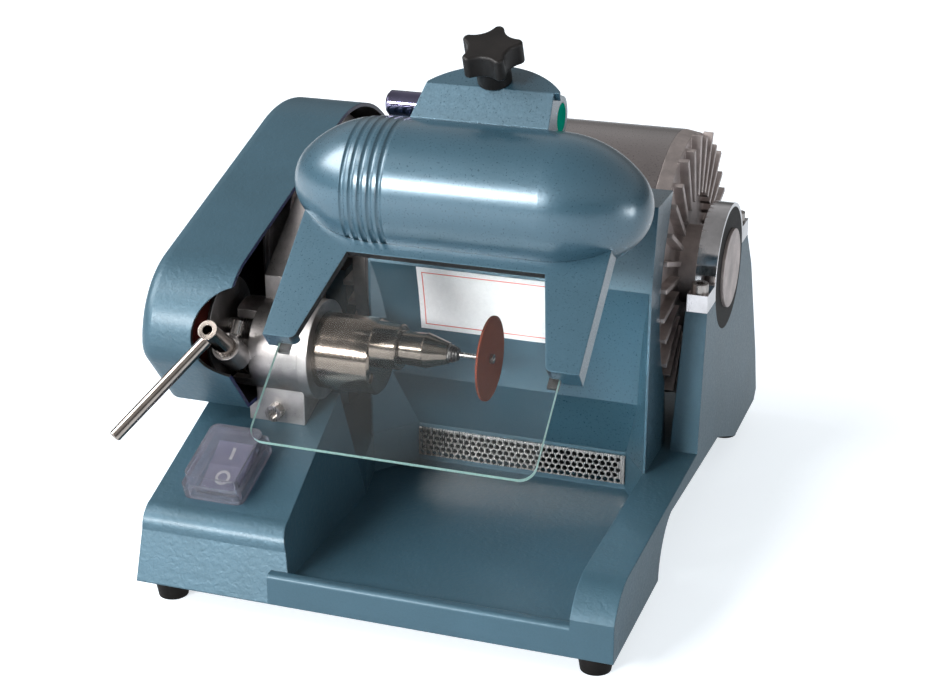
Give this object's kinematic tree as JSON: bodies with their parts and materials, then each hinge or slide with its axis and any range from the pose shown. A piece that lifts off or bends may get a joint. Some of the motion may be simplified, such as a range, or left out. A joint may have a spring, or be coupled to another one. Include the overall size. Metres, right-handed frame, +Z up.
{
  "type": "dental polishing lathe",
  "caption": "Bench unit for cutting and polishing small dental work: belt driven collet spindle over a dust tray, lamp hood with glass shield, motor behind",
  "frame": {"origin": "on the bench plane under the middle of the whole part's box", "axes": "+Z up, +Y from the operator's side to the rear, +X to the operator's right, along the spindle towards the disc"},
  "size_m": [0.2466, 0.3446, 0.2611],
  "materials": {
    "blue_paint": "semi-gloss hammertone",
    "grey_paint": "satin",
    "cast_metal": "as cast",
    "polished_steel": "polished",
    "bright_steel": "bright",
    "dark_steel": "oiled",
    "dark_casting": "as cast",
    "black_rubber": "matt",
    "black_plastic": "fine grained",
    "green_plastic": "gloss",
    "clear_boot": "soft clear",
    "rocker_plastic": "satin",
    "clear_glass": "polished",
    "lamp_white": "opal",
    "abrasive": "bonded grit",
    "label": "printed film",
    "brass": "turned"
  },
  "bodies": {
    "frame": {"base_casting": "blue_paint", "belt_guard": "blue_paint", "bottom_cover": "bright_steel", "cartridge_screw": "dark_steel", "chamber_wall": "blue_paint", "drive_belt": "black_rubber", "dust_grille": "bright_steel", "headstock": "cast_metal", "hinge_axle": "polished_steel", "hood_arm": "cast_metal", "hose_spigot": "black_plastic", "hub_clamps": "polished_steel", "hub_rubbers": "black_rubber", "label_plate": "label", "lever_bush": "brass", "lever_screw": "bright_steel", "motor_bearings": "bright_steel", "motor_cap_left": "cast_metal", "motor_cap_right": "cast_metal", "motor_cover": "grey_paint", "power_inlet": "black_plastic", "rubber_feet": "black_rubber", "run_capacitor": "bright_steel", "socket_screws": "bright_steel", "spindle_bearings": "bright_steel", "spindle_cartridge": "polished_steel", "spindle_nose": "polished_steel", "stator": "dark_casting", "suction_duct": "bright_steel", "switch_body": "black_plastic", "switch_boot": "clear_boot"},
    "motor": {"rotor_core": "dark_casting", "motor_shaft": "bright_steel", "motor_pulley": "bright_steel"},
    "spindle": {"spindle_shaft": "bright_steel", "spindle_pulley": "bright_steel", "collet": "dark_steel", "mandrel": "polished_steel", "cutting_disc": "abrasive", "disc_screw": "bright_steel", "disc_springs": "dark_steel"},
    "drawbar": {"drawbar": "bright_steel"},
    "release": {"release_collar": "bright_steel"},
    "lever": {"lever_hub": "polished_steel", "lever_rod": "polished_steel"},
    "hood": {"hood_shell": "blue_paint", "hood_skirt": "blue_paint", "hinge_block": "blue_paint", "hinge_plug": "green_plastic", "glass_shield": "clear_glass", "glass_clips": "black_rubber", "lamp_tube": "lamp_white", "lamp_holders": "black_plastic", "reflector": "bright_steel"},
    "knob": {"star_knob": "black_plastic", "knob_stud": "dark_steel"},
    "rocker": {"rocker": "rocker_plastic"}
  },
  "joints": [
    {"name": "motor_spin", "type": "hinge", "parent": "frame", "child": "motor", "pos_m": [-0.08325, 0.05628, 0.1225], "axis": [1, 0, 0], "continuous": true},
    {"name": "spindle_spin", "type": "hinge", "parent": "frame", "child": "spindle", "pos_m": [-0.08325, -0.07192, 0.1104], "axis": [1, 0, 0], "continuous": true},
    {"name": "lever_swing", "type": "hinge", "parent": "frame", "child": "lever", "pos_m": [-0.08435, -0.11732, 0.1261], "axis": [0, -0.766, 0.6428], "range_deg": [0, 50]},
    {"name": "collar_slide", "type": "slide", "parent": "frame", "child": "release", "axis": [1, 0, 0], "range_m": [0, 0.002]},
    {"name": "drawbar_slide", "type": "slide", "parent": "spindle", "child": "drawbar", "axis": [1, 0, 0], "range_m": [0, 0.002]},
    {"name": "hood_tilt", "type": "hinge", "parent": "frame", "child": "hood", "pos_m": [0.03525, -0.04722, 0.2212], "axis": [-1, 0, 0], "range_deg": [0, 70]},
    {"name": "knob_turn", "type": "hinge", "parent": "hood", "child": "knob", "pos_m": [0.03305, -0.04722, 0.2212], "axis": [0, -0.3907, 0.9205], "range_deg": [0, 180]},
    {"name": "rocker_press", "type": "hinge", "parent": "frame", "child": "rocker", "pos_m": [-0.07475, -0.11522, 0.05392], "axis": [1, 0, 0], "range_deg": [-12, 0]}
  ],
  "couplings": [
    {"joint": "spindle_spin", "follows": "motor_spin", "ratio": 2.8},
    {"joint": "collar_slide", "follows": "lever_swing", "m_per_rad": 0.0021946},
    {"joint": "drawbar_slide", "follows": "lever_swing", "m_per_rad": 0.0021946}
  ]
}
